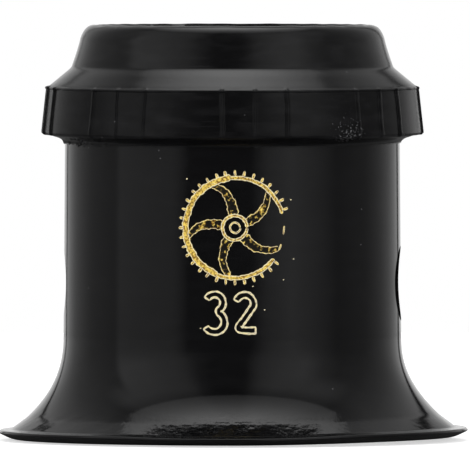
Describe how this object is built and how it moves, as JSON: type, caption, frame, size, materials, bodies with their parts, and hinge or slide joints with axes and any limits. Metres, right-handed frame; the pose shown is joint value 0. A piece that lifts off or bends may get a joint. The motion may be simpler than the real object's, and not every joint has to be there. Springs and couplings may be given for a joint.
{
  "type": "watchmaker eye loupe",
  "caption": "Watchmaker's eye loupe: flared eyecup with vent holes, ribbed screw cap and a pair of lenses inside.",
  "frame": {"origin": "centre of the eyecup's contact ring, in the plane that it rests on", "axes": "+Z along the optical axis, from the eye to the work; +X towards the right-hand vent hole of the picture; -Y towards its camera"},
  "size_m": [0.0362, 0.0362, 0.032],
  "materials": {
    "housing_plastic": "moulded, glossy black",
    "cap_plastic": "moulded, glossy black with handling marks",
    "lens_glass": "polished crown glass",
    "spacer_plastic": "matt black, against stray light",
    "ring_rubber": "moulded rubber",
    "spring_steel": "drawn spring wire"
  },
  "bodies": {
    "housing": {"eyecup_housing": "housing_plastic"},
    "lens_stack": {"objective_lens": "lens_glass", "lens_spacer": "spacer_plastic", "eye_lens": "lens_glass", "cushion_ring": "ring_rubber"},
    "cap": {"screw_cap": "cap_plastic", "retaining_ring": "spring_steel"}
  },
  "joints": [
    {"name": "cap_rise", "type": "slide", "parent": "housing", "child": "lens_stack", "axis": [0, 0, 1], "range_m": [0, 0.00375]},
    {"name": "cap_turn", "type": "hinge", "parent": "lens_stack", "child": "cap", "pos_m": [0, 0, 0.027], "axis": [0, 0, 1], "range_deg": [0, 900]}
  ],
  "couplings": [
    {"joint": "cap_rise", "follows": "cap_turn", "m_per_rad": 0.00023873}
  ]
}
